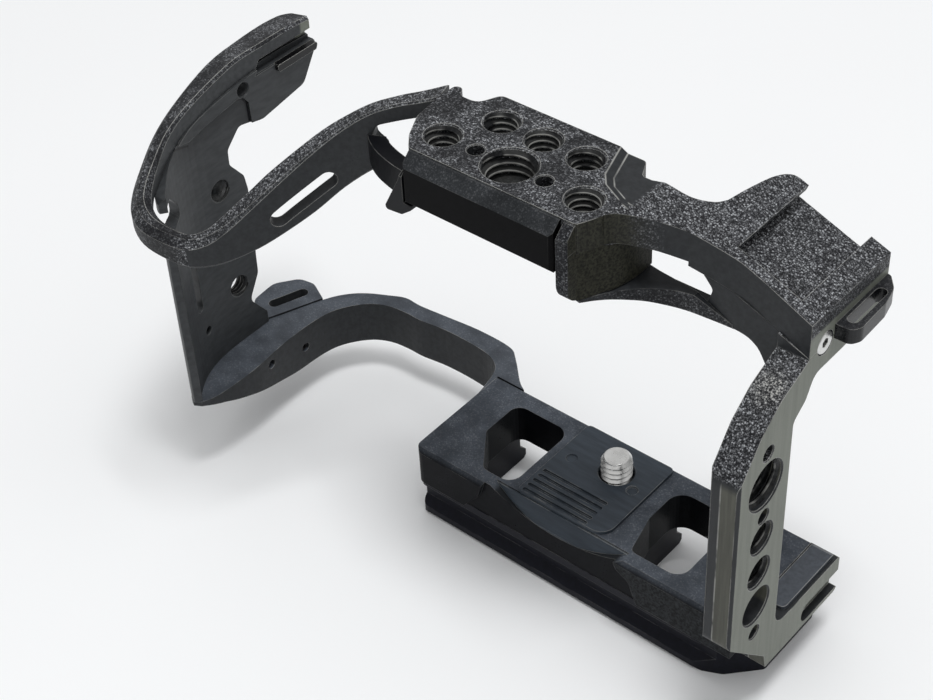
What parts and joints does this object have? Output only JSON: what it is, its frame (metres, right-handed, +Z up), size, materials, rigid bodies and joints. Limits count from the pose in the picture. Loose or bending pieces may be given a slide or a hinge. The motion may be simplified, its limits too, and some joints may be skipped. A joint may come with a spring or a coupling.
{
  "type": "camera cage",
  "caption": "Machined half cage that wraps a mirrorless camera, with threaded top and side plates, a sloped cold shoe, a grip loop and a quick release foot.",
  "frame": {"origin": "on the axis of the camera screw, in the plane of the seat pad that the camera rests on", "axes": "+X from the grip towards the side plate, +Y towards the rear, away from the lens, +Z up along the camera screw"},
  "size_m": [0.1459, 0.0629, 0.1012],
  "materials": {
    "blasted_black": "coarse bead-blasted, black hard-anodised, with fine bright specks",
    "machined_dark": "satin machined, dark grey anodised",
    "seat_pad": "satin machined insert with grip grooves",
    "bright_steel": "turned stainless steel",
    "black_steel": "black oxide"
  },
  "bodies": {
    "cage": {"base_plate": "blasted_black", "quick_release_foot": "blasted_black", "foot_screw_front_left": "black_steel", "foot_screw_front_right": "black_steel", "foot_screw_rear_left": "black_steel", "foot_screw_rear_right": "black_steel", "seat_pad": "seat_pad", "side_plate": "machined_dark", "end_pad": "machined_dark", "shoulder_arm": "blasted_black", "shoulder_web": "machined_dark", "shoulder_ledge": "machined_dark", "cold_shoe": "machined_dark", "right_strap_lug": "blasted_black", "lug_screw": "bright_steel", "top_plate": "blasted_black", "front_panel": "blasted_black", "panel_foot": "blasted_black", "hump_block": "machined_dark", "hump_strut": "blasted_black", "grip_arm": "blasted_black", "grip_band": "blasted_black", "grip_wall": "machined_dark", "wall_rail": "machined_dark", "bottom_arm": "blasted_black", "left_strap_lug": "blasted_black", "arm_set_screw_front": "black_steel", "arm_set_screw_rear": "black_steel"},
    "screw_carrier": {"screw_retainer": "bright_steel"},
    "screw": {"camera_screw": "bright_steel"}
  },
  "joints": [
    {"name": "screw_slide", "type": "slide", "parent": "cage", "child": "screw_carrier", "axis": [0, 0, 1], "range_m": [-0.0035, 0]},
    {"name": "screw_spin", "type": "hinge", "parent": "screw_carrier", "child": "screw", "pos_m": [0, 0, 0], "axis": [0, 0, 1], "continuous": true}
  ]
}
